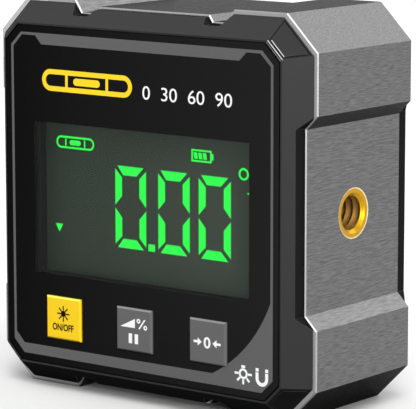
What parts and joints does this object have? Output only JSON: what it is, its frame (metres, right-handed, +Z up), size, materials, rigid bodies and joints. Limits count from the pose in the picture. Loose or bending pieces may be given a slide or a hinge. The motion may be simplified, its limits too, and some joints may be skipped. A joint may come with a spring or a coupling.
{
  "type": "digital angle meter",
  "caption": "Pocket digital angle meter: square aluminium frame with magnetic base, black bezel with lit display and keys, tripod thread in the side, battery door at the back.",
  "frame": {"origin": "on the plane of the feet, under the middle of the whole thickness", "axes": "+Z up, +X to the right as the display is read, display faces -Y"},
  "size_m": [0.06, 0.0314, 0.06],
  "materials": {
    "frame_metal": "brushed, grey anodised",
    "case_plastic": "fine matte moulded texture",
    "panel": "smooth gloss sheet, printed line",
    "lens": "clear polished",
    "display": "dark, with lit figures",
    "white_plastic": "smooth white",
    "light_guide": "clear polished",
    "lamp": "frosted",
    "elastomer": "striped elastomer",
    "board": "solder mask, satin",
    "chip": "moulded epoxy",
    "plated_steel": "zinc plated, satin",
    "ceramic": "fired ceramic",
    "switch": "moulded",
    "plunger": "moulded",
    "yellow_key": "smooth yellow",
    "grey_key": "smooth dark grey",
    "brass": "turned, bright",
    "nickel": "nickel plated",
    "cell": "printed jacket, gloss",
    "black_lead": "wire insulation",
    "red_lead": "wire insulation"
  },
  "bodies": {
    "case": {"frame": "frame_metal", "front_bezel": "case_plastic", "face_panel": "panel", "display_lens": "lens", "display_glass": "display", "backlight_frame": "white_plastic", "light_guide": "light_guide", "backlight_leds": "lamp", "contact_strip": "elastomer", "main_board": "board", "tilt_sensor": "chip", "controller_chip": "chip", "crystal": "plated_steel", "chip_capacitors": "ceramic", "key_switches": "switch", "tripod_insert": "brass", "base_magnets": "nickel", "rear_cover": "case_plastic", "upper_cell": "cell", "lower_cell": "cell", "negative_contact": "nickel", "positive_contact": "nickel", "link_contact": "nickel", "contact_springs": "nickel", "negative_lead": "black_lead", "positive_lead": "red_lead", "rear_screws": "plated_steel", "board_screws": "plated_steel"},
    "power_button": {"power_key": "yellow_key", "power_plunger": "plunger"},
    "hold_button": {"hold_key": "grey_key", "hold_plunger": "plunger"},
    "zero_button": {"zero_key": "grey_key", "zero_plunger": "plunger"},
    "door": {"battery_door": "case_plastic"}
  },
  "joints": [
    {"name": "power_press", "type": "slide", "parent": "case", "child": "power_button", "axis": [0, 1, 0], "range_m": [0, 0.0003], "stiffness_N_per_m": 3000, "springref_m": -0.0001},
    {"name": "hold_press", "type": "slide", "parent": "case", "child": "hold_button", "axis": [0, 1, 0], "range_m": [0, 0.0003], "stiffness_N_per_m": 3000, "springref_m": -0.0001},
    {"name": "zero_press", "type": "slide", "parent": "case", "child": "zero_button", "axis": [0, 1, 0], "range_m": [0, 0.0003], "stiffness_N_per_m": 3000, "springref_m": -0.0001},
    {"name": "door_swing", "type": "hinge", "parent": "case", "child": "door", "pos_m": [0, 0.01572, 0.0174], "axis": [-1, 0, 0], "range_deg": [0, 75]}
  ]
}
